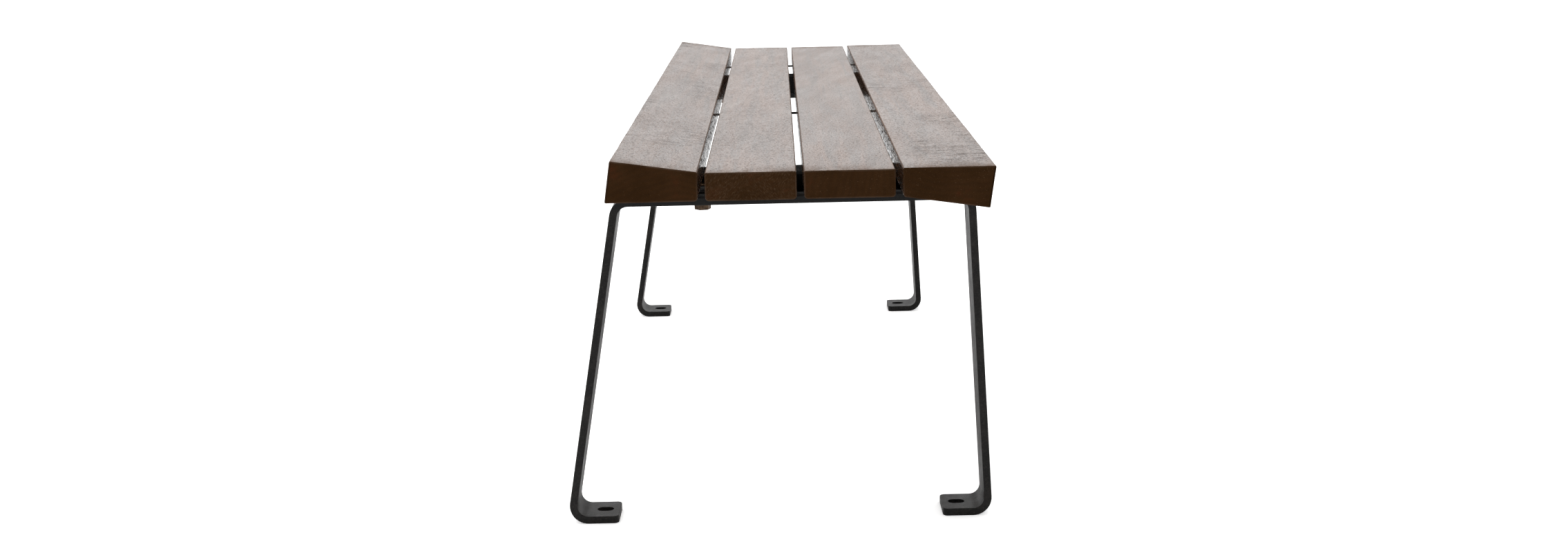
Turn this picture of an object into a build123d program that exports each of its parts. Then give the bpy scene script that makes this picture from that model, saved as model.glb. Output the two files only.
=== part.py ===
"""Backless street bench: four timber slats on two bent flat-bar leg frames."""
from build123d import *
from math import cos, radians, sin, tan
import os

# Driving dimensions, in millimetres and degrees.
# X runs across the seat, Y along it and Z up. The origin is on the floor under the middle of the base.
bench_length = 1500.0
seat_underside = 420.0
seat_offset = 29.0  # the middle gap stands this far to the right of the base's centre

slat_gap = 7.5
flat_width, flat_thickness = 96.0, 30.0
wedge_base, wedge_short_side, wedge_angle = 98.0, 31.0, 8.5
slat_top_radius, slat_bottom_radius, slat_outer_radius, slat_end_radius = 2.0, 4.0, 1.5, 1.0

base_width = 504.0
frame_centre_y = 533.0
bar_width, bar_thickness = 54.0, 9.0
bend_radius = 13.0  # inside of each bend
left_splay, right_splay = 10.0, 3.0
foot_end_x, foot_corner_radius, bar_edge_radius = 194.0, 6.0, 0.8
anchor_x, anchor_slot_length, anchor_slot_width = 212.0, 20.0, 14.0

saddle_height, saddle_thickness = 28.0, 3.0
saddle_left, saddle_right = -160.0, 211.0
saddle_corner_radius = 2.5
driver_hole_radius = 6.0  # holes in the lower flange, for a driver to reach the slat screws

tie_width, tie_thickness = 12.0, 2.0
tie_left, tie_right = -165.0, 216.0
tie_end_inset = 42.0

hex_bolt_x, sunk_bolt_x = -83.0, 201.0  # the right-hand bolt is countersunk into the crossbar
bolt_radius, bolt_hole_radius, bolt_turn = 5.0, 5.5, 12.0
hex_bolt_length, head_flats, head_height = 25.0, 17.0, 6.4
sunk_bolt_length, sunk_head_radius, socket_flats, socket_depth = 20.0, 9.8, 6.0, 3.5
sink_angle, sink_clearance = 45.0, 0.2
nut_flats, nut_height, nut_bore_radius = 17.0, 5.0, 5.1
washer_radius, washer_bore_radius, washer_thickness = 10.0, 5.25, 2.5
hex_chamfer, bolt_tip_chamfer = 0.6, 1.0

slat_screw = {"radius": 2.4, "length": 25.0, "head_radius": 4.5, "head_height": 3.0}
tie_screw = {"radius": 1.9, "length": 16.0, "head_radius": 3.5, "head_height": 2.2}
screw_head_taper = 12.0
screw_hole_clearance, pilot_clearance, pilot_tip_clearance = 0.35, 0.1, 2.0
screw_spacing = 48.0
left_wedge_screw_runs, right_wedge_screw_runs = (64.0, 24.0), (14.0, 36.0)

# Heights and places that follow from them.
saddle_underside = seat_underside - saddle_height
bar_underside = saddle_underside - bar_thickness
hex_head_top = bar_underside - washer_thickness
bolt_places = [(x, -frame_centre_y) for x in (hex_bolt_x, sunk_bolt_x)]
outer_bend_radius = bend_radius + bar_thickness
bend_x = base_width / 2 - outer_bend_radius
slope = radians(wedge_angle)
left_inner_x = seat_offset - slat_gap / 2 - flat_width - slat_gap
right_inner_x = seat_offset + slat_gap / 2 + flat_width + slat_gap
flat_slat_centres = (
    seat_offset - (slat_gap + flat_width) / 2,
    seat_offset + (slat_gap + flat_width) / 2,
)
tie_rows = {
    "front": tie_end_inset - bench_length / 2,
    "middle": 0.0,
    "rear": bench_length / 2 - tie_end_inset,
}


def underside_point(x, depth=0.0):
    """Point (x, z) at a depth below the slats: level, then falling under the right-hand wedge slat."""
    past_knee = max(0.0, x - knee_point(depth)[0])
    return (x, seat_underside - depth - past_knee * tan(slope))


def knee_point(depth=0.0):
    """Point where the underside line turns down, at a depth below the slats."""
    return (right_inner_x - depth * tan(slope / 2), seat_underside - depth)


def level_screw_plane(x, y):
    """Plane on the level underside, with its normal pointing up into the timber."""
    return Plane(origin=(x, y, seat_underside), x_dir=(1, 0, 0), z_dir=(0, 0, 1))


def sloping_screw_plane(run, y):
    """Plane on the sloping underside of the right-hand wedge slat, a run outward from its inner edge."""
    origin = (right_inner_x + run * cos(slope), y, seat_underside - run * sin(slope))
    return Plane(origin=origin, x_dir=(cos(slope), 0, -sin(slope)), z_dir=(sin(slope), 0, cos(slope)))


def saddle_screw_planes(y):
    """Two screws into each slat at one saddle, from left to right, keyed by slat."""
    pair = (-screw_spacing / 2, screw_spacing / 2)
    return {
        "left_edge": [level_screw_plane(left_inner_x - run, y) for run in left_wedge_screw_runs],
        "left_inner": [level_screw_plane(flat_slat_centres[0] + step, y) for step in pair],
        "right_inner": [level_screw_plane(flat_slat_centres[1] + step, y) for step in pair],
        "right_edge": [sloping_screw_plane(run, y) for run in right_wedge_screw_runs],
    }


def tie_screw_planes(y):
    """One screw into the middle of each slat at one tie strip, keyed by slat."""
    return {
        "left_edge": [level_screw_plane(left_inner_x - wedge_base / 2, y)],
        "left_inner": [level_screw_plane(flat_slat_centres[0], y)],
        "right_inner": [level_screw_plane(flat_slat_centres[1], y)],
        "right_edge": [sloping_screw_plane(wedge_base / 2, y)],
    }


def flat_outline(centre_x):
    """Corners (x, z) of a rectangular slat's section, each with its radius."""
    left, right = centre_x - flat_width / 2, centre_x + flat_width / 2
    top = seat_underside + flat_thickness
    return {
        (left, seat_underside): slat_bottom_radius,
        (right, seat_underside): slat_bottom_radius,
        (right, top): slat_top_radius,
        (left, top): slat_top_radius,
    }


def wedge_outline(inner_x, base_z, outward, thicker):
    """Corners of a wedge slat: level base, short inner side and an outer side square to the slope."""
    slope_run = wedge_base * cos(slope) - wedge_short_side * sin(slope)
    outer_x = inner_x + outward * slope_run * cos(slope)
    outer_z = base_z + thicker * (wedge_short_side + slope_run * sin(slope))
    radii = [slat_bottom_radius, slat_top_radius]
    base_radius, far_radius = radii if thicker > 0 else reversed(radii)
    return {
        (inner_x, base_z): base_radius,
        (inner_x + outward * wedge_base, base_z): slat_outer_radius,
        (outer_x, outer_z): slat_outer_radius,
        (inner_x, base_z + thicker * wedge_short_side): far_radius,
    }


def slat(name, corners):
    """A slat of the full length with rounded edges and pilot holes for its screws."""
    with BuildPart() as timber:
        with BuildSketch(Plane.XZ.offset(-bench_length / 2)):
            with BuildLine():
                Polyline(*corners, close=True)
            make_face()
        extrude(amount=bench_length)
        for (x, z), radius in corners.items():
            fillet(timber.edges().filter_by(Axis.Y).sort_by_distance((x, 0, z))[0], radius=radius)
        fillet(timber.faces().filter_by(Axis.Y).edges(), radius=slat_end_radius)
        for screw, plate_thickness, planes in (
            (slat_screw, saddle_thickness, saddle_screw_planes(-frame_centre_y)[name]),
            (slat_screw, saddle_thickness, saddle_screw_planes(frame_centre_y)[name]),
            *[(tie_screw, tie_thickness, tie_screw_planes(row_y)[name]) for row_y in tie_rows.values()],
        ):
            pilot_depth = screw["length"] - plate_thickness + pilot_tip_clearance
            for plane in planes:
                with BuildSketch(plane):
                    Circle(screw["radius"] + pilot_clearance)
                extrude(amount=pilot_depth, mode=Mode.SUBTRACT)
    return timber.part


def screw_set(planes, screw, plate_thickness):
    """Pan-head screws from below through a plate of the given thickness, one solid for each plane."""
    with BuildPart() as screws:
        for plane in planes:
            with BuildSketch(plane.offset(-plate_thickness)):
                Circle(screw["radius"])
            extrude(amount=screw["length"])
            with BuildSketch(plane.offset(-plate_thickness)):
                Circle(screw["head_radius"])
            extrude(amount=-screw["head_height"], taper=screw_head_taper)
    return screws.part


def leg_line_x(side, splay, radius, z):
    """X of one face of a leg at height z: a line tangent to its foot bend and splayed outward downward."""
    angle = radians(splay)
    return side * (bend_x + radius / cos(angle) - (z - outer_bend_radius) * tan(angle))


def leg_frame():
    """Front leg frame: one flat bar bent into two inturned feet, two splayed legs and a crossbar."""
    faces = []
    for radius, foot_z, top_z in (
        (outer_bend_radius, 0.0, saddle_underside),
        (bend_radius, bar_thickness, bar_underside),
    ):
        faces.append([
            (-foot_end_x, foot_z),
            (leg_line_x(-1, left_splay, radius, foot_z), foot_z),
            (leg_line_x(-1, left_splay, radius, top_z), top_z),
            (leg_line_x(1, right_splay, radius, top_z), top_z),
            (leg_line_x(1, right_splay, radius, foot_z), foot_z),
            (foot_end_x, foot_z),
        ])
    outer_points, inner_points = faces
    with BuildPart() as frame:
        with BuildSketch(Plane.XZ.offset(frame_centre_y - bar_width / 2)):
            with BuildLine():
                outer = FilletPolyline(*outer_points, radius=outer_bend_radius)
                inner = FilletPolyline(*inner_points, radius=bend_radius)
                Line(outer @ 0, inner @ 0)
                Line(outer @ 1, inner @ 1)
            make_face()
        extrude(amount=bar_width)
        fillet(frame.edges().filter_by(Axis.Z), radius=foot_corner_radius)
        fillet(frame.faces().filter_by(Axis.Y).edges(), radius=bar_edge_radius)
        with BuildSketch():
            with Locations((-anchor_x, -frame_centre_y), (anchor_x, -frame_centre_y)):
                SlotOverall(anchor_slot_length, anchor_slot_width)
        extrude(amount=bar_thickness, mode=Mode.SUBTRACT)
        with BuildSketch(Plane.XY.offset(bar_underside)):
            with Locations(*bolt_places):
                Circle(bolt_hole_radius)
        extrude(amount=bar_thickness, mode=Mode.SUBTRACT)
        with BuildSketch(Plane.XY.offset(bar_underside)):
            with Locations(bolt_places[1]):
                Circle(sunk_head_radius + sink_clearance)
        extrude(amount=sunk_head_radius - bolt_radius, taper=sink_angle, mode=Mode.SUBTRACT)
    return frame.part


def saddle():
    """Front saddle: a pressed channel between crossbar and slats, open towards the end of the bench."""
    front_y = -frame_centre_y - bar_width / 2
    back_y = front_y + bar_width
    planes = [plane for pair in saddle_screw_planes(-frame_centre_y).values() for plane in pair]
    with BuildPart() as channel:
        with BuildSketch(Plane.XZ.offset(-back_y)):
            with BuildLine():
                Polyline(
                    (saddle_left, saddle_underside),
                    underside_point(saddle_left),
                    knee_point(),
                    underside_point(saddle_right),
                    (saddle_right, saddle_underside),
                    close=True,
                )
            make_face()
        extrude(amount=bar_width)
        fillet(channel.faces().sort_by(Axis.Y)[-1].edges(), radius=saddle_corner_radius)
        with BuildSketch(Plane.XZ.offset(-front_y)):
            with BuildLine():
                Polyline(
                    (saddle_left, saddle_underside + saddle_thickness),
                    underside_point(saddle_left, saddle_thickness),
                    knee_point(saddle_thickness),
                    underside_point(saddle_right, saddle_thickness),
                    (saddle_right, saddle_underside + saddle_thickness),
                    close=True,
                )
            make_face()
        extrude(amount=saddle_thickness - bar_width, mode=Mode.SUBTRACT)
        for plane in planes:
            with BuildSketch(plane):
                Circle(slat_screw["radius"] + screw_hole_clearance)
            extrude(amount=-saddle_thickness, mode=Mode.SUBTRACT)
            with BuildSketch(plane.offset(-saddle_height / 2)):
                Circle(driver_hole_radius)
            extrude(amount=-saddle_height, mode=Mode.SUBTRACT)
        with BuildSketch(Plane.XY.offset(saddle_underside)):
            with Locations(*bolt_places):
                Circle(bolt_hole_radius)
        extrude(amount=saddle_thickness, mode=Mode.SUBTRACT)
    return channel.part


def tie_strip(row_y):
    """Thin strip across the undersides of all the slats, screwed to each of them."""
    with BuildPart() as strip:
        with BuildSketch(Plane.XZ.offset(-row_y - tie_width / 2)):
            with BuildLine():
                Polyline(
                    underside_point(tie_left),
                    knee_point(),
                    underside_point(tie_right),
                    underside_point(tie_right, tie_thickness),
                    knee_point(tie_thickness),
                    underside_point(tie_left, tie_thickness),
                    close=True,
                )
            make_face()
        extrude(amount=tie_width)
        for planes in tie_screw_planes(row_y).values():
            with BuildSketch(planes[0]):
                Circle(tie_screw["radius"] + screw_hole_clearance)
            extrude(amount=-tie_thickness, mode=Mode.SUBTRACT)
    return strip.part


def frame_bolts():
    """Front bolts: hexagon head below the crossbar on the left, countersunk and flush on the right."""
    with BuildPart() as bolts:
        with BuildSketch(Plane.XY.offset(hex_head_top - head_height)):
            with Locations(bolt_places[0]):
                RegularPolygon(head_flats / 2, 6, major_radius=False, rotation=bolt_turn)
        extrude(amount=head_height)
        chamfer(bolts.faces().group_by(Axis.Z)[0].edges(), length=hex_chamfer)
        for place, head_plane, length in (
            (bolt_places[0], Plane.XY.offset(hex_head_top), hex_bolt_length),
            (bolt_places[1], Plane.XY.offset(bar_underside), sunk_bolt_length),
        ):
            with BuildSketch(head_plane):
                with Locations(place):
                    Circle(bolt_radius)
            extrude(amount=length)
            tip = (*place, head_plane.origin.Z + length)
            chamfer(bolts.faces().sort_by_distance(tip)[0].edges(), length=bolt_tip_chamfer)
        with BuildSketch(Plane.XY.offset(bar_underside)):
            with Locations(bolt_places[1]):
                Circle(sunk_head_radius)
        extrude(amount=sunk_head_radius - bolt_radius, taper=sink_angle)
        with BuildSketch(Plane.XY.offset(bar_underside)):
            with Locations(bolt_places[1]):
                RegularPolygon(socket_flats / 2, 6, major_radius=False)
        extrude(amount=socket_depth, mode=Mode.SUBTRACT)
    return bolts.part


def frame_washers():
    """Front washers: one on the hexagon head, and one under each nut."""
    with BuildPart() as washers:
        for level, places in (
            (hex_head_top, bolt_places[:1]),
            (saddle_underside + saddle_thickness, bolt_places),
        ):
            with BuildSketch(Plane.XY.offset(level)):
                with Locations(*places):
                    Circle(washer_radius)
                    Circle(washer_bore_radius, mode=Mode.SUBTRACT)
            extrude(amount=washer_thickness)
    return washers.part


def frame_nuts():
    """Front nuts, on washers in the saddle."""
    with BuildPart() as nuts:
        with BuildSketch(Plane.XY.offset(saddle_underside + saddle_thickness + washer_thickness)):
            with Locations(*bolt_places):
                RegularPolygon(nut_flats / 2, 6, major_radius=False, rotation=bolt_turn)
        extrude(amount=nut_height)
        chamfer(nuts.faces().group_by(Axis.Z)[-1].edges(), length=hex_chamfer)
        with BuildSketch(Plane.XY.offset(saddle_underside)):
            with Locations(*bolt_places):
                Circle(nut_bore_radius)
        extrude(amount=saddle_height, mode=Mode.SUBTRACT)
    return nuts.part


def mirrored(piece):
    """The same piece at the rear end of the bench."""
    with BuildPart() as opposite:
        mirror(piece, about=Plane.XZ)
    return opposite.part


def save(piece, name):
    """Label a piece and write it to its own file."""
    piece.label = name
    export_step(piece, f"parts/{name}.step")


os.makedirs("parts", exist_ok=True)

outlines = {
    "left_edge": wedge_outline(left_inner_x, seat_underside, -1, 1),
    "left_inner": flat_outline(flat_slat_centres[0]),
    "right_inner": flat_outline(flat_slat_centres[1]),
    "right_edge": wedge_outline(right_inner_x, seat_underside + wedge_short_side, 1, -1),
}
for name, corners in outlines.items():
    save(slat(name, corners), f"slat_{name}")

front_screw_planes = [plane for pair in saddle_screw_planes(-frame_centre_y).values() for plane in pair]
front_pieces = {
    "leg_frame": leg_frame(),
    "saddle": saddle(),
    "frame_bolts": frame_bolts(),
    "frame_washers": frame_washers(),
    "frame_nuts": frame_nuts(),
    "slat_screws": screw_set(front_screw_planes, slat_screw, saddle_thickness),
}
for name, piece in front_pieces.items():
    save(piece, f"{name}_front")
    save(mirrored(piece), f"{name}_rear")

for row, row_y in tie_rows.items():
    row_planes = [planes[0] for planes in tie_screw_planes(row_y).values()]
    save(tie_strip(row_y), f"tie_strip_{row}")
    save(screw_set(row_planes, tie_screw, tie_thickness), f"tie_screws_{row}")
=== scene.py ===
"""Backless bench of four dark timber slats on two bent flat-bar leg frames: looks, light and camera."""

from collections import namedtuple
from math import atan2, cos, pi, radians, sin, tan

import bpy
from mathutils import Matrix, Vector, noise


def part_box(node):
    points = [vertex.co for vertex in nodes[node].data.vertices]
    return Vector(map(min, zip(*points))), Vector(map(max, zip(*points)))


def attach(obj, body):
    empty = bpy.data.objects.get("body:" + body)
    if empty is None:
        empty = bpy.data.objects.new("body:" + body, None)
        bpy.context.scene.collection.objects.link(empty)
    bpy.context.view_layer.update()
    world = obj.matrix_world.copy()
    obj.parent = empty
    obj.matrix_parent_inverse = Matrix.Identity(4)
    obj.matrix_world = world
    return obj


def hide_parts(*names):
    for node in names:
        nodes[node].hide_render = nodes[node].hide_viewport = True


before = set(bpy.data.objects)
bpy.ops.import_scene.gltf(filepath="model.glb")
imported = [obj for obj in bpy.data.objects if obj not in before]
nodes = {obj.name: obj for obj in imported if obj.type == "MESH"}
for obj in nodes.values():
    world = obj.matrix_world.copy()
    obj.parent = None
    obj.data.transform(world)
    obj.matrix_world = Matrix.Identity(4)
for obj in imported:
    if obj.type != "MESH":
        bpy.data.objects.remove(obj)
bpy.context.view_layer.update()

# ---------------------------------------------------------------- slat sizes, in metres

MM = 0.001
WEDGE_BASE, WEDGE_SHORT_SIDE, WEDGE_ANGLE = 98 * MM, 31 * MM, radians(8.5)
TOP_RADIUS, BOTTOM_RADIUS, OUTER_RADIUS, END_RADIUS = 2 * MM, 4 * MM, 1.5 * MM, 1.0 * MM
ARC_STEPS, FLAT_STEP = 6, 5 * MM  # points around a corner and along a flat
EDGE_REACH = 3 * FLAT_STEP  # an edge's wear fades out over this distance
STATIONS, END_STEPS = 400, 5  # rings of points along a slat and around each rounded end
RIM_WIDTH = 0.8 * MM  # from the rounded end to the ring inside it
ARRIS_WIDTH = 0.7 * MM  # how far a corner's colour runs onto the flats
BESIDE_ARRIS = 0.99  # edge nearness next to an arris, where it is 1
SIDE_LIMIT = 0.9  # a face whose normal has more than this along X is a planed side
END_ZONE = 70 * MM  # length of the handled zone at each end
WAVES_ACROSS, WAVES_ALONG = 14, 9  # per metre
WAVE_DEPTH, WAVE_DROP = 0.35 * MM, 0.15 * MM
NICKS_PER_METRE, NICK_BIAS, END_FADE = 95, 0.1, 12 * MM
EASED = 0.3 * MM  # depth of the small nicks on every edge
FIRST_SEED, SEED_STEP, SEED_OFFSET = 3.1, 5.7, (1.7, 0.9, 2.3)

Slat = namedtuple("Slat", "nick_depth figure_turn ripples saw_marks ring_centre")
SLATS = {
    "slat_left_edge": Slat(1.3 * MM, 0.04, 0.75, 0.06, (0.10, 0, -0.30)),
    "slat_left_inner": Slat(0.0, 0.24, 0.25, 0.7, (-0.02, 0, -0.34)),
    "slat_right_inner": Slat(0.0, 0.20, 0.2, 0.06, (-0.30, 0, -0.40)),
    "slat_right_edge": Slat(0.6 * MM, 0.06, 0.75, 0.06, (-0.20, 0, -0.55)),
}
OUTWARD = {"slat_left_edge": -1, "slat_right_edge": 1}

# ---------------------------------------------------------------- shader helpers

COLOUR_A, COLOUR_B, COLOUR_RESULT = 6, 7, 2  # the Mix node's colour sockets


def add(tree, kind, inputs=None, **settings):
    """A node with its settings and inputs; an input is a value or another node's output."""
    made = tree.nodes.new(kind)
    for key, value in settings.items():
        setattr(made, key, value)
    for key, value in (inputs or {}).items():
        if isinstance(value, bpy.types.NodeSocket):
            tree.links.new(value, made.inputs[key])
        else:
            made.inputs[key].default_value = value
    return made


def new_material(name):
    """An empty node material: (material, tree, principled shader, object coordinates)."""
    material = bpy.data.materials.new(name)
    material.use_nodes = True
    tree = material.node_tree
    place = add(tree, "ShaderNodeTexCoord").outputs["Object"]
    return material, tree, tree.nodes["Principled BSDF"], place


def attribute(tree, name):
    """A value stored on the mesh's vertices."""
    return add(tree, "ShaderNodeAttribute", attribute_name=name).outputs["Fac"]


def cloud(tree, vector, scale=1.0, detail=4.0, roughness=0.55, distortion=0.0):
    """Fractal noise, about 0.3 to 0.7."""
    return add(tree, "ShaderNodeTexNoise", {
        "Vector": vector, "Scale": scale, "Detail": detail, "Roughness": roughness, "Distortion": distortion,
    }).outputs["Fac"]


def stretched_cloud(tree, place, offset, cells, turn=0.0, **character):
    """Noise moved by an offset, turned about Z, and stretched to so many cells per metre on each axis."""
    moved = add(tree, "ShaderNodeMapping", {"Vector": place, "Location": offset, "Rotation": (0, 0, turn)})
    scaled = add(tree, "ShaderNodeMapping", {"Vector": moved.outputs["Vector"], "Scale": cells})
    return cloud(tree, scaled.outputs["Vector"], **character)


def span(tree, value, low, high, to_low=0.0, to_high=1.0):
    """Smooth change from to_low to to_high as value goes from low to high."""
    return add(tree, "ShaderNodeMapRange", {
        "Value": value, "From Min": low, "From Max": high, "To Min": to_low, "To Max": to_high,
    }, interpolation_type="SMOOTHSTEP").outputs["Result"]


def maths(tree, operation, first, second=0.0):
    """One arithmetic step."""
    return add(tree, "ShaderNodeMath", {0: first, 1: second}, operation=operation).outputs[0]


def times(tree, first, second):
    """Product of two values."""
    return maths(tree, "MULTIPLY", first, second)


def plus(tree, first, second):
    """Sum of two values."""
    return maths(tree, "ADD", first, second)


def minus(tree, first, second):
    """Difference of two values."""
    return maths(tree, "SUBTRACT", first, second)


def larger(tree, first, second):
    """The larger of two values."""
    return maths(tree, "MAXIMUM", first, second)


def blend(tree, share, first, second):
    """Mix of two colours, by the second one's share."""
    made = add(tree, "ShaderNodeMix", {"Factor": share}, data_type="RGBA")
    for socket, value in ((made.inputs[COLOUR_A], first), (made.inputs[COLOUR_B], second)):
        if isinstance(value, bpy.types.NodeSocket):
            tree.links.new(value, socket)
        else:
            socket.default_value = (*value, 1.0)
    return made.outputs[COLOUR_RESULT]


def bump(tree, height, strength, distance, below=None):
    """Bump from a height, on top of another bump."""
    inputs = {"Height": height, "Strength": strength, "Distance": distance}
    if below is not None:
        inputs["Normal"] = below
    return add(tree, "ShaderNodeBump", inputs).outputs["Normal"]


# ---------------------------------------------------------------- timber

# Noise cells per metre on X, Y and Z
DRIFT, BANDS, FIGURE, FIBRES = (9, 2.2, 9), (70, 3.5, 70), (46, 5, 46), (520, 110, 520)
PORES, WORN, SIDE_FLECKS = (430, 260, 430), (26, 12, 26), (300, 38, 620)
RIPPLE_FIELD, RIPPLE_LINES = (7, 4, 7), (16, 85, 60)
FIBRE_TURN_SHARE = 0.5

WOOD_DARK, WOOD_LIGHT, BAND_COLOUR = (0.082, 0.036, 0.0145), (0.118, 0.053, 0.0225), (0.054, 0.025, 0.0105)
FIBRE_COLOUR, PORE_COLOUR = (0.165, 0.080, 0.038), (0.010, 0.006, 0.004)
HANDLED_COLOUR, RUBBED_COLOUR = (0.075, 0.037, 0.016), (0.075, 0.038, 0.018)
PORE_DEPTH, HANDLED_DEPTH = 0.66, 0.8
DULLED, ARRIS_DULLED = 0.25, 0.3  # added roughness
OIL_LOST_DARK, OIL_LOST_HANDLED, COAT_ROUGHNESS = 0.75, 0.45, 0.2
FIGURE_HEIGHT, FIBRE_HEIGHT, DARK_HEIGHT = 1.6 * MM, 0.5 * MM, 0.5


def timber(name, offset, figure_turn, ripples):
    """Oiled dark hardwood along Y: drifting tone, fibres, pores, ripple marks, rubbed edges, glossy sides."""
    material, tree, shader, place = new_material(name)

    def grain(cells, turn=0.0, **character):
        """This slat's own noise."""
        return stretched_cloud(tree, place, offset, cells, turn, **character)

    side, arris = attribute(tree, "planed_side"), attribute(tree, "arris")
    figure = grain(FIGURE, figure_turn, detail=5, roughness=0.62)
    fibres = grain(FIBRES, FIBRE_TURN_SHARE * figure_turn, detail=3, roughness=0.8)
    pores = span(tree, grain(PORES, detail=4, roughness=0.75), 0.50, 0.66)
    worn = grain(WORN, detail=6, roughness=0.62)
    flecks = span(tree, grain(SIDE_FLECKS, detail=4, roughness=0.7), 0.47, 0.63, 0.0, 0.95)
    middle = minus(tree, grain(RIPPLE_LINES, detail=5, roughness=0.6, distortion=0.8), 0.5)
    lines = span(tree, maths(tree, "ABSOLUTE", middle), 0.004, 0.018, 1, 0)
    marks = times(tree, lines, span(tree, grain(RIPPLE_FIELD, detail=3), 0.46, 0.58))
    marks = larger(tree, times(tree, marks, ripples), times(tree, side, flecks))
    dark = larger(tree, times(tree, pores, PORE_DEPTH), marks)
    rubbed = times(tree, arris, span(tree, worn, 0.40, 0.62, 0.2, 0.9))
    handled = times(tree, attribute(tree, "end_zone"), span(tree, worn, 0.40, 0.60, 0.25, 1.0))

    colour = blend(tree, span(tree, grain(DRIFT, detail=3), 0.35, 0.65), WOOD_DARK, WOOD_LIGHT)
    colour = blend(tree, span(tree, grain(BANDS, detail=5, distortion=0.6), 0.38, 0.66), colour, BAND_COLOUR)
    colour = blend(tree, span(tree, fibres, 0.42, 0.75, 0.0, 0.5), colour, FIBRE_COLOUR)
    colour = blend(tree, dark, colour, PORE_COLOUR)
    colour = blend(tree, times(tree, handled, HANDLED_DEPTH), colour, HANDLED_COLOUR)
    colour = blend(tree, rubbed, colour, RUBBED_COLOUR)

    rough = plus(tree, span(tree, worn, 0.3, 0.7, 0.34, 0.42), span(tree, figure, 0.35, 0.65, 0.0, 0.09))
    rough = plus(tree, rough, times(tree, larger(tree, dark, handled), DULLED))
    rough = plus(tree, rough, times(tree, arris, ARRIS_DULLED))
    planed = times(tree, side, span(tree, flecks, 0.0, 1.0, 0.15, 0.52))
    rough = plus(tree, times(tree, rough, minus(tree, 1.0, side)), planed)

    oil = minus(tree, span(tree, fibres, 0.3, 0.7, 0.68, 0.46), times(tree, dark, OIL_LOST_DARK))
    oil = minus(tree, minus(tree, oil, side), times(tree, handled, OIL_LOST_HANDLED))
    oil = larger(tree, minus(tree, oil, arris), 0.0)

    broad = bump(tree, figure, span(tree, side, 0.0, 1.0, 0.5, 0.03), FIGURE_HEIGHT)
    height = minus(tree, fibres, times(tree, dark, DARK_HEIGHT))
    normal = bump(tree, height, span(tree, side, 0.0, 1.0, 1.0, 0.06), FIBRE_HEIGHT, broad)
    for value, socket in (
        (colour, "Base Color"),
        (rough, "Roughness"),
        (oil, "Coat Weight"),
        (normal, "Normal"),
        (normal, "Coat Normal"),
    ):
        tree.links.new(value, shader.inputs[socket])
    shader.inputs["Coat Roughness"].default_value = COAT_ROUGHNESS
    return material


# ---------------------------------------------------------------- end grain

PATCHES, SPECKS, WOBBLE, STROKE_FIELD = (26, 1, 30), (700, 1, 700), (14, 14, 14), (11, 1, 11)
STROKE_TILTS = (radians(38), (1500, 1, 260)), (radians(-35), (1500, 1, 280))  # turn about Y, cells
RING_WOBBLE, RINGS_RATE, RING_DEPTH = 0.030, 900, 0.16
END_DARK, END_LIGHT, END_RED = (0.0320, 0.0128, 0.0027), (0.0405, 0.0166, 0.0044), (0.062, 0.0170, 0.0045)
RING_COLOUR, STROKE_COLOUR = (0.017, 0.0075, 0.0022), (0.100, 0.062, 0.036)
# The rim colour is a painted highlight on the rounded end edges, and partly their rubbed wear.
SPECK_COLOUR, RIM_HIGHLIGHT_AND_WEAR_COLOUR = (0.14, 0.085, 0.050), (0.080, 0.052, 0.036)
END_BUMP, END_BUMP_HEIGHT, END_SHINE = 0.35, 0.25 * MM, 0.06


def end_grain(name, offset, ring_centre, saw_marks):
    """Sawn end of a slat: dark and matt, with growth rings, pale specks, saw strokes and red patches."""
    material, tree, shader, place = new_material(name)

    def grain(cells, **character):
        """This slat's own noise."""
        return stretched_cloud(tree, place, offset, cells, **character)

    centred = add(tree, "ShaderNodeMapping", {"Vector": place, "Location": ring_centre, "Scale": (1, 0, 1)})
    length = add(tree, "ShaderNodeVectorMath", {0: centred.outputs["Vector"]}, operation="LENGTH")
    reach = plus(tree, length.outputs["Value"], times(tree, grain(WOBBLE, detail=3), RING_WOBBLE))
    rings = span(tree, maths(tree, "SINE", times(tree, reach, RINGS_RATE)), -1, 1)
    patches = grain(PATCHES, detail=4)
    specks = grain(SPECKS, detail=3, roughness=0.7)
    strokes = []
    for tilt, cells in STROKE_TILTS:
        tilted = add(tree, "ShaderNodeMapping", {"Vector": place, "Rotation": (0, tilt, 0)}).outputs["Vector"]
        strokes.append(stretched_cloud(tree, tilted, offset, cells, detail=4, roughness=0.7))
    downward = span(tree, grain(STROKE_FIELD, detail=2), 0.44, 0.56)
    marks = plus(tree, times(tree, strokes[0], downward), times(tree, strokes[1], minus(tree, 1.0, downward)))
    marks = span(tree, marks, 0.48, 0.70, 0.0, saw_marks)
    # Pale rim on the rounded end edges: painted highlight, partly rubbed wear, stronger in the lighter
    # patches.
    rim_highlight_and_wear = times(tree, attribute(tree, "arris"), span(tree, patches, 0.35, 0.62, 0.05, 0.5))

    colour = blend(tree, span(tree, patches, 0.35, 0.62), END_DARK, END_LIGHT)
    colour = blend(tree, span(tree, patches, 0.60, 0.72, 0.0, 0.6), colour, END_RED)
    colour = blend(tree, times(tree, rings, RING_DEPTH), colour, RING_COLOUR)
    colour = blend(tree, marks, colour, STROKE_COLOUR)
    colour = blend(tree, span(tree, specks, 0.64, 0.72, 0.0, 0.8), colour, SPECK_COLOUR)
    colour = blend(tree, rim_highlight_and_wear, colour, RIM_HIGHLIGHT_AND_WEAR_COLOUR)
    tree.links.new(colour, shader.inputs["Base Color"])
    tree.links.new(span(tree, specks, 0.3, 0.7, 0.62, 0.85), shader.inputs["Roughness"])
    tree.links.new(bump(tree, plus(tree, specks, marks), END_BUMP, END_BUMP_HEIGHT), shader.inputs["Normal"])
    shader.inputs["Specular IOR Level"].default_value = END_SHINE
    return material


# ---------------------------------------------------------------- steel

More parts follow.
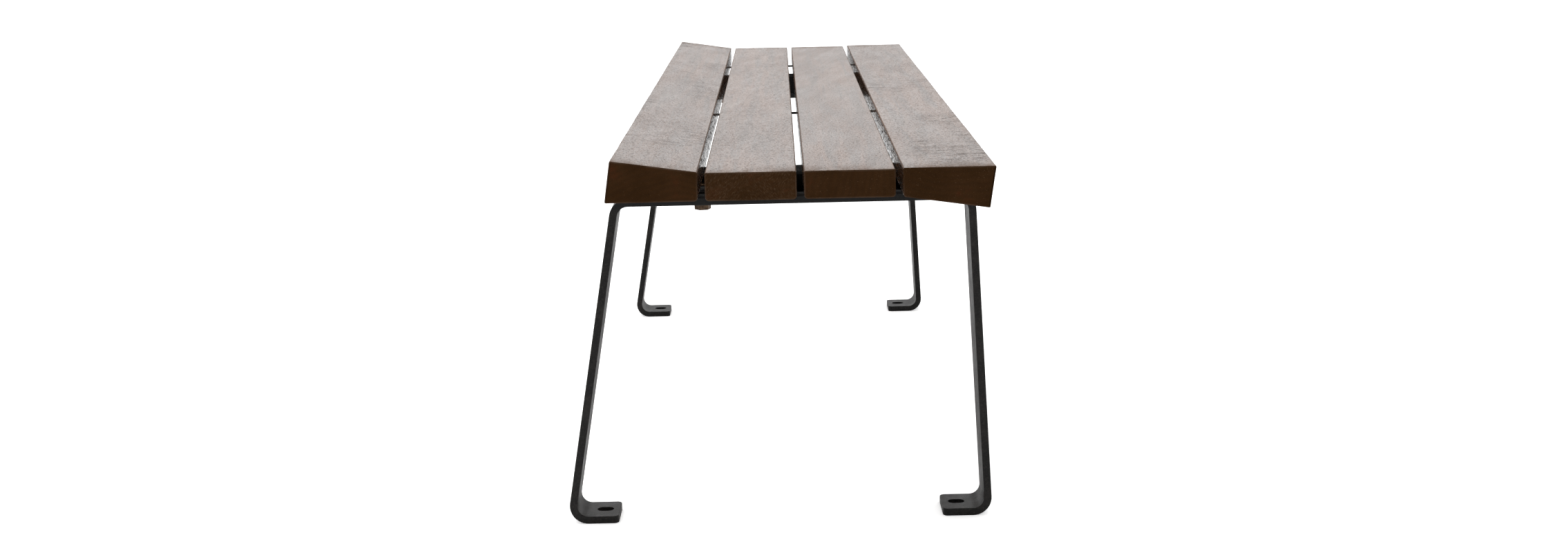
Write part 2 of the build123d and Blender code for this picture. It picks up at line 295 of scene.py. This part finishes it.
PEEL_CELLS, DUST_CELLS, RUB_CELLS, BLOTCH_CELLS, SCRATCH_CELLS = 520, 30, 420, 260, (2400, 300, 1500)
DUST_SHADE_HEIGHTS = 366 * MM, 385 * MM  # dust thins out between these heights, painting shade under the seat
DUST_IN_PAINTED_SHADE = 0.1
PEEL_BUMP, PEEL_HEIGHT = 0.8, 0.35 * MM
SCRATCH_BUMP, SCRATCH_HEIGHT = 0.2, 0.05 * MM


def powder_coat(name, base, dust_colour, roughness, shine):
    """Powder-coated steel: fine orange peel, dust and paler rubbed specks, thinned near the top as painted
    shade.
    """
    material, tree, shader, place = new_material(name)
    peel = cloud(tree, place, scale=PEEL_CELLS, detail=4, roughness=0.7)
    dust = cloud(tree, place, scale=DUST_CELLS, detail=7, roughness=0.7)
    rub = cloud(tree, place, scale=RUB_CELLS, detail=5, roughness=0.8)
    height = add(tree, "ShaderNodeSeparateXYZ", {"Vector": place}).outputs["Z"]
    # Dust and rub specks fade out above the lower height: the darker steel under the slats is painted shade.
    dust_below_painted_shade = span(tree, height, *DUST_SHADE_HEIGHTS, 1.0, DUST_IN_PAINTED_SHADE)
    colour = blend(tree, times(tree, dust_below_painted_shade, span(tree, dust, 0.42, 0.7, 0.0, 0.6)), base, dust_colour)
    colour = blend(tree, times(tree, dust_below_painted_shade, span(tree, rub, 0.48, 0.68, 0.0, 0.8)), colour, dust_colour)
    tree.links.new(colour, shader.inputs["Base Color"])
    tree.links.new(span(tree, dust, 0.3, 0.7, roughness - 0.06, roughness + 0.1), shader.inputs["Roughness"])
    tree.links.new(bump(tree, peel, PEEL_BUMP, PEEL_HEIGHT), shader.inputs["Normal"])
    shader.inputs["Specular IOR Level"].default_value = shine
    return material


def plated(name, base, tint, roughness):
    """Plated or browned fastener steel with blotches and fine scratches."""
    material, tree, shader, place = new_material(name)
    blotch = cloud(tree, place, scale=BLOTCH_CELLS, detail=5, roughness=0.65)
    scratch = stretched_cloud(tree, place, (0, 0, 0), SCRATCH_CELLS, detail=3)
    tree.links.new(blend(tree, span(tree, blotch, 0.35, 0.68), base, tint), shader.inputs["Base Color"])
    tree.links.new(span(tree, blotch, 0.3, 0.7, roughness, roughness + 0.2), shader.inputs["Roughness"])
    tree.links.new(bump(tree, scratch, SCRATCH_BUMP, SCRATCH_HEIGHT), shader.inputs["Normal"])
    shader.inputs["Metallic"].default_value = 1.0
    return material


frame_paint = powder_coat("frame_paint", (0.0055, 0.0052, 0.0050), (0.0330, 0.0295, 0.0265), 0.42, 0.2)
saddle_paint = powder_coat("saddle_paint", (0.004, 0.0036, 0.003), (0.007, 0.0062, 0.0055), 0.7, 0.12)
tie_paint = powder_coat("tie_paint", (0.006, 0.0052, 0.0045), (0.014, 0.012, 0.010), 0.7, 0.15)
bolt_steel = plated("bolt_steel", (0.15, 0.100, 0.066), (0.085, 0.055, 0.037), 0.5)
fastener_zinc = plated("fastener_zinc", (0.075, 0.073, 0.070), (0.045, 0.043, 0.040), 0.42)

FINISHES = {
    "leg_frame": frame_paint,
    "saddle": saddle_paint,
    "tie_strip": tie_paint,
    "frame_bolts": bolt_steel,
    "frame_washers": fastener_zinc,
    "frame_nuts": fastener_zinc,
    "slat_screws": fastener_zinc,
    "tie_screws": fastener_zinc,
}
for node_name, node_object in nodes.items():
    kind = node_name.rsplit("_", 1)[0]
    if kind in FINISHES:
        node_object.data.materials.clear()
        node_object.data.materials.append(FINISHES[kind])

# ---------------------------------------------------------------- slats


def rounded_outline(corners, radii):
    """Closed outline of a convex polygon with rounded corners, as (point, outward normal, edge nearness)."""
    points = []
    count = len(corners)
    for i, corner in enumerate(corners):
        before, after = corners[i - 1], corners[(i + 1) % count]
        to_before, to_after = (before - corner).normalized(), (after - corner).normalized()
        half = to_before.angle(to_after) / 2
        centre = corner + (to_before + to_after).normalized() * radii[i] / sin(half)
        start = corner + to_before * radii[i] / tan(half)
        end = corner + to_after * radii[i] / tan(half)
        start_angle = atan2(start.y - centre.y, start.x - centre.x)
        turn = pi - 2 * half
        for step in range(ARC_STEPS + 1):
            angle = start_angle + turn * step / ARC_STEPS
            normal = Vector((cos(angle), sin(angle)))
            nearness = 1.0 if abs(2 * step - ARC_STEPS) <= ARC_STEPS / 2 else BESIDE_ARRIS
            points.append((centre + normal * radii[i], normal, nearness))
        next_half = (corner - after).angle(corners[(i + 2) % count] - after) / 2
        next_start = after + (corner - after).normalized() * radii[(i + 1) % count] / tan(next_half)
        run = next_start - end
        pieces = max(2, round(run.length / FLAT_STEP))
        normal = Vector((run.y, -run.x)).normalized()
        narrow = ARRIS_WIDTH / run.length
        for share in (narrow, *(step / pieces for step in range(1, pieces)), 1.0 - narrow):
            nearness = BESIDE_ARRIS * max(0.0, 1.0 - min(share, 1.0 - share) * run.length / EDGE_REACH)
            points.append((end + run * share, normal, nearness))
    return points


def slat_corners(name):
    """Section corners (x, z) counter-clockwise, with their radii, placed from the CAD nodes' boxes."""
    low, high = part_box(name)
    if name.endswith("inner"):
        corners = [(low.x, low.z), (high.x, low.z), (high.x, high.z), (low.x, high.z)]
        radii = [BOTTOM_RADIUS, BOTTOM_RADIUS, TOP_RADIUS, TOP_RADIUS]
        return [Vector(c) for c in corners], radii
    seat_low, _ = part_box("slat_left_inner")
    slope_run = WEDGE_BASE * cos(WEDGE_ANGLE) - WEDGE_SHORT_SIDE * sin(WEDGE_ANGLE)
    rise = WEDGE_SHORT_SIDE + slope_run * sin(WEDGE_ANGLE)
    reach = slope_run * cos(WEDGE_ANGLE)
    if name == "slat_left_edge":
        x, z = high.x, seat_low.z
        corners = [(x - WEDGE_BASE, z), (x, z), (x, z + WEDGE_SHORT_SIDE), (x - reach, z + rise)]
        radii = [OUTER_RADIUS, BOTTOM_RADIUS, TOP_RADIUS, OUTER_RADIUS]
    else:
        x, z = low.x, seat_low.z + WEDGE_SHORT_SIDE
        corners = [(x, z - WEDGE_SHORT_SIDE), (x + reach, z - rise), (x + WEDGE_BASE, z), (x, z)]
        radii = [BOTTOM_RADIUS, OUTER_RADIUS, OUTER_RADIUS, TOP_RADIUS]
    return [Vector(c) for c in corners], radii


def slat_rings(front, rear):
    """Each ring of a slat's points, as (y, inset), from the front cap ring to the rear one."""
    cap_inset = END_RADIUS + RIM_WIDTH
    curve = []
    for step in range(END_STEPS):
        angle = pi / 2 * step / END_STEPS
        curve.append((END_RADIUS * (1 - cos(angle)), END_RADIUS * (1 - sin(angle))))
    first, last = front + END_RADIUS, rear - END_RADIUS
    return [
        (front, cap_inset),
        *((front + along, inset) for along, inset in curve),
        *((first + (last - first) * step / STATIONS, 0.0) for step in range(STATIONS + 1)),
        *((rear - along, inset) for along, inset in reversed(curve)),
        (rear, cap_inset),
    ]


def slat_piece(name, seed):
    """A slat with gently uneven faces and hand-eased edges, rounded ends and an end-grain cap at each end."""
    slat = SLATS[name]
    outline = rounded_outline(*slat_corners(name))
    count = len(outline)
    centre = sum((point for point, _, _ in outline), Vector((0, 0))) / count
    half_width = abs(outline[0][0].x - centre.x)
    low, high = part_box(name)
    rings = slat_rings(low.y, high.y)
    cap_inset = rings[0][1]
    vertices, arris, end_zone, planed_side = [], [], [], []
    for y, inset in rings:
        from_end = min(y - low.y, high.y - y)
        for point, normal, nearness in outline:
            wave_place = Vector((point.x * WAVES_ACROSS + seed, y * WAVES_ALONG, point.y * WAVES_ACROSS))
            wave = min(0.0, noise.noise(wave_place) * WAVE_DEPTH - WAVE_DROP)
            nick_place = Vector((seed * 3 + normal.x, y * NICKS_PER_METRE, normal.y))
            outside = max(0.0, OUTWARD.get(name, 0) * (point.x - centre.x) / half_width)
            nick_depth = nearness * (slat.nick_depth * outside + EASED)
            nick = min(0.0, noise.noise(nick_place) + NICK_BIAS) * nick_depth * min(1.0, from_end / END_FADE)
            moved = point + normal * (wave + nick - inset)
            vertices.append((moved.x, y, moved.y))
            arris.append(1.0 if inset < cap_inset and (nearness == 1.0 or inset > 0.0) else 0.0)
            end_zone.append(max(0.0, 1.0 - from_end / END_ZONE) ** 2)
            planed_side.append(1.0 if abs(normal.x) > SIDE_LIMIT else 0.0)
    faces = []
    for ring in range(len(rings) - 1):
        for i in range(count):
            a, b = ring * count + i, ring * count + (i + 1) % count
            faces.append((a, b, b + count, a + count))
    faces.append(tuple(reversed(range(count))))
    faces.append(tuple(range((len(rings) - 1) * count, len(rings) * count)))

    mesh = bpy.data.meshes.new(name + "_timber")
    mesh.from_pydata(vertices, [], faces)
    mesh.update()
    for label, values in (("arris", arris), ("end_zone", end_zone), ("planed_side", planed_side)):
        mesh.attributes.new(label, "FLOAT", "POINT").data.foreach_set("value", values)
    offset = tuple(seed * share for share in SEED_OFFSET)
    mesh.materials.append(timber(name + "_long_grain", offset, slat.figure_turn, slat.ripples))
    mesh.materials.append(end_grain(name + "_end_grain", offset, slat.ring_centre, slat.saw_marks))
    for polygon in mesh.polygons:
        is_cap = len(polygon.vertices) != 4
        ring = polygon.vertices[0] // count
        polygon.use_smooth = not is_cap
        if is_cap or not END_STEPS <= ring <= len(rings) - END_STEPS - 2:
            polygon.material_index = 1
    piece = bpy.data.objects.new(name + "_timber", mesh)
    bpy.context.scene.collection.objects.link(piece)
    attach(piece, "root")
    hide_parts(name)


for number, slat_name in enumerate(SLATS):
    slat_piece(slat_name, FIRST_SEED + SEED_STEP * number)

# ---------------------------------------------------------------- floor

FLOOR_HALF, FLOOR_TONE, FLOOR_ROUGHNESS, FLOOR_SHINE = 30.0, 0.93, 0.9, 0.1
FLOOR_LIFT = 0.5  # glow that only the camera sees, so that the floor looks as white as the backdrop
FLOOR_CORNERS = [(x * FLOOR_HALF, y * FLOOR_HALF, 0) for x, y in ((-1, -1), (1, -1), (1, 1), (-1, 1))]

floor = bpy.data.objects.new("floor", bpy.data.meshes.new("floor"))
floor.data.from_pydata(FLOOR_CORNERS, [], [(0, 1, 2, 3)])
floor_material, floor_tree, floor_shader, _ = new_material("floor")
floor_shader.inputs["Base Color"].default_value = (FLOOR_TONE, FLOOR_TONE, FLOOR_TONE, 1)
floor_shader.inputs["Roughness"].default_value = FLOOR_ROUGHNESS
floor_shader.inputs["Specular IOR Level"].default_value = FLOOR_SHINE
floor_shader.inputs["Emission Color"].default_value = (1, 1, 1, 1)
floor_seen = add(floor_tree, "ShaderNodeLightPath").outputs["Is Camera Ray"]
floor_tree.links.new(times(floor_tree, floor_seen, FLOOR_LIFT), floor_shader.inputs["Emission Strength"])
floor.data.materials.append(floor_material)
bpy.context.scene.collection.objects.link(floor)

# ---------------------------------------------------------------- light

WHITE = (1, 1, 1, 1)
FRONT_LIGHT, BACK_LIGHT, SKY_LIGHT = 0.22, 1.08, 1.3  # world strength in front, behind and overhead
TOP_LIGHT_PLACE, TOP_LIGHT_AIM = (-0.6, 0.6, 3.2), (0, 0, 0.3)
TOP_LIGHT_SIZE, TOP_LIGHT_WATTS = (4.0, 5.0), 100

world = bpy.data.worlds.new("studio")
bpy.context.scene.world = world
world.use_nodes = True
tree = world.node_tree
tree.nodes.clear()
direction = add(tree, "ShaderNodeTexCoord").outputs["Generated"]
parts = add(tree, "ShaderNodeSeparateXYZ", {"Vector": direction}).outputs
toward_back = span(tree, parts["Y"], -0.6, 0.6, FRONT_LIGHT, BACK_LIGHT)
strength = larger(tree, toward_back, span(tree, parts["Z"], 0.3, 1.0, 0.0, SKY_LIGHT))
seen = add(tree, "ShaderNodeLightPath").outputs["Is Camera Ray"]
surround = add(tree, "ShaderNodeBackground", {"Color": WHITE, "Strength": strength}).outputs[0]
backdrop = add(tree, "ShaderNodeBackground", {"Color": WHITE, "Strength": 1.0}).outputs[0]
both = add(tree, "ShaderNodeMixShader", {0: seen, 1: surround, 2: backdrop}).outputs[0]
add(tree, "ShaderNodeOutputWorld", {"Surface": both})

soft_light = bpy.data.lights.new("top_light", "AREA")
soft_light.shape = "RECTANGLE"
soft_light.size, soft_light.size_y = TOP_LIGHT_SIZE
soft_light.energy = TOP_LIGHT_WATTS
top_light = bpy.data.objects.new("top_light", soft_light)
top_light.location = TOP_LIGHT_PLACE
top_light.rotation_mode = "QUATERNION"
top_light.rotation_quaternion = (Vector(TOP_LIGHT_PLACE) - Vector(TOP_LIGHT_AIM)).to_track_quat("Z", "Y")
bpy.context.scene.collection.objects.link(top_light)

# ---------------------------------------------------------------- camera

# It stands 1.85 m in front of the near end and 0.74 m up, looks 12.2 degrees down and leans 1.3 degrees.
CAMERA_PLACE, PITCH, LEAN = (0.0099, -2.5999, 0.7366), 0.21215, 0.02245
SENSOR_WIDTH, FOCAL_LENGTH, VIEW_DISTANCE = 36.0, 41.244, 200.0

camera = bpy.data.objects.new("camera", bpy.data.cameras.new("camera"))
camera.data.sensor_width = SENSOR_WIDTH
camera.data.lens = FOCAL_LENGTH
camera.data.clip_end = VIEW_DISTANCE
camera.matrix_world = (
    Matrix.Translation(CAMERA_PLACE)
    @ Matrix.Rotation(pi / 2 - PITCH, 4, "X")
    @ Matrix.Rotation(-LEAN, 4, "Z")
)
bpy.context.scene.collection.objects.link(camera)
bpy.context.scene.camera = camera
bpy.context.scene.view_settings.view_transform = "Standard"
